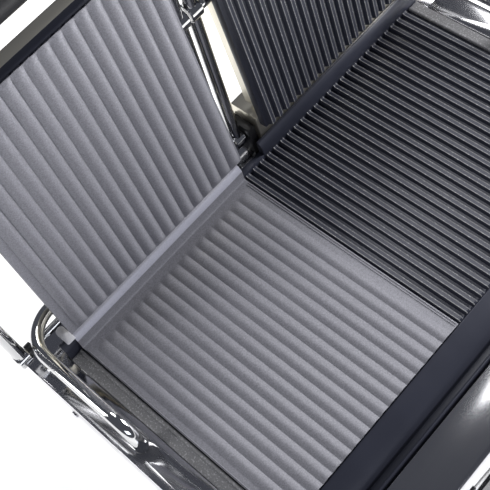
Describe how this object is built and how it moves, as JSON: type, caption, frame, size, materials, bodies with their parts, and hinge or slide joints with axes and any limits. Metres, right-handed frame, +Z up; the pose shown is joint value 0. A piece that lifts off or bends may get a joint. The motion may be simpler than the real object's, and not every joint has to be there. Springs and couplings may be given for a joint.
{
  "type": "panini press",
  "caption": "Countertop contact grill with one ribbed lower plate and separately hinged ribbed upper platens on tubular bail handles.",
  "frame": {"origin": "bottom centre of the whole object as it stands open, on the surface under its feet", "axes": "+X to the machine's right, +Y to its back (hinges), +Z up"},
  "size_m": [0.559, 0.4148, 0.483],
  "materials": {
    "stainless": "polished sheet",
    "housing_steel": "satin sheet",
    "cast_plate": "seasoned casting with shot-blasted grain",
    "liner": "pressed sheet with matt non-stick coat",
    "chrome": "bright plated",
    "black_plastic": "phenolic",
    "rubber": "matt",
    "element_sheath": "heat-stained sheath",
    "insulation": "ceramic fibre mat",
    "ceramic": "steatite",
    "spring_steel": "oiled",
    "thermostat_body": "moulded",
    "lamp": "translucent lens",
    "rocker": "moulded"
  },
  "bodies": {
    "machine": {"bottom_pan": "stainless", "side_panel_left": "stainless", "side_panel_right": "stainless", "rear_deck": "stainless", "front_panel": "stainless", "rear_panel": "stainless", "feet": "rubber", "lower_plate": "cast_plate", "lower_liner": "liner", "lower_element_left": "element_sheath", "lower_element_right": "element_sheath", "heat_shield": "stainless", "lower_insulation": "insulation", "thermostat_left": "thermostat_body", "thermostat_right": "thermostat_body", "terminal_block": "ceramic", "cord_gland": "black_plastic", "pilot_lamps": "lamp", "switch_frames": "black_plastic", "panel_screws": "stainless", "hinge_cover_left": "housing_steel", "hinge_cover_right": "housing_steel", "bearing_blocks_left": "black_plastic", "bearing_blocks_right": "black_plastic", "balance_spring_left": "spring_steel", "balance_spring_right": "spring_steel", "guard_rail_left": "chrome", "guard_rail_right": "chrome", "tray_runners": "stainless"},
    "bail_left": {"bail_tube_left": "chrome", "grip_left": "black_plastic", "hinge_shaft_left": "chrome", "shaft_collars_left": "black_plastic"},
    "bail_right": {"bail_tube_right": "chrome", "grip_right": "black_plastic", "hinge_shaft_right": "chrome", "shaft_collars_right": "black_plastic"},
    "platen_left": {"upper_plate_left": "cast_plate", "upper_liner_left": "liner", "platen_casing_left": "housing_steel", "upper_element_left": "element_sheath", "upper_insulation_left": "insulation", "pivot_pins_left": "chrome", "casing_screws_left": "stainless"},
    "platen_right": {"upper_plate_right": "cast_plate", "platen_casing_right": "housing_steel", "upper_element_right": "element_sheath", "upper_insulation_right": "insulation", "pivot_pins_right": "chrome", "casing_screws_right": "stainless"},
    "knob_left": {"knob_left": "black_plastic"},
    "knob_right": {"knob_right": "black_plastic"},
    "rocker_left": {"rocker_left": "rocker"},
    "rocker_right": {"rocker_right": "rocker"},
    "drip_tray": {"drip_tray": "stainless", "drip_tray_handle": "black_plastic"}
  },
  "joints": [
    {"name": "bail_left_lift", "type": "hinge", "parent": "machine", "child": "bail_left", "pos_m": [0, 0.1709, 0.15], "axis": [1, 0, 0], "range_deg": [0, 85.4]},
    {"name": "bail_right_lift", "type": "hinge", "parent": "machine", "child": "bail_right", "pos_m": [0, 0.1709, 0.15], "axis": [1, 0, 0], "range_deg": [0, 87.7]},
    {"name": "platen_left_tilt", "type": "hinge", "parent": "bail_left", "child": "platen_left", "pos_m": [0, 0.1709, 0.329], "axis": [1, 0, 0], "range_deg": [0, 10.2]},
    {"name": "platen_right_tilt", "type": "hinge", "parent": "bail_right", "child": "platen_right", "pos_m": [0, 0.1709, 0.329], "axis": [1, 0, 0], "range_deg": [0, 7.9]},
    {"name": "knob_left_turn", "type": "hinge", "parent": "machine", "child": "knob_left", "pos_m": [-0.19, -0.1846, 0.08], "axis": [0, 1, 0], "range_deg": [0, 270]},
    {"name": "rocker_left_tip", "type": "hinge", "parent": "machine", "child": "rocker_left", "pos_m": [-0.12, -0.1766, 0.08], "axis": [1, 0, 0], "range_deg": [0, 14]},
    {"name": "knob_right_turn", "type": "hinge", "parent": "machine", "child": "knob_right", "pos_m": [0.19, -0.1846, 0.08], "axis": [0, 1, 0], "range_deg": [0, 270]},
    {"name": "rocker_right_tip", "type": "hinge", "parent": "machine", "child": "rocker_right", "pos_m": [0.12, -0.1766, 0.08], "axis": [1, 0, 0], "range_deg": [0, 14]},
    {"name": "drip_tray_slide", "type": "slide", "parent": "machine", "child": "drip_tray", "axis": [0, -1, 0], "range_m": [0, 0.08]}
  ],
  "couplings": [
    {"joint": "platen_left_tilt", "follows": "bail_left_lift", "ratio": 0.1188},
    {"joint": "platen_right_tilt", "follows": "bail_right_lift", "ratio": 0.0894}
  ]
}
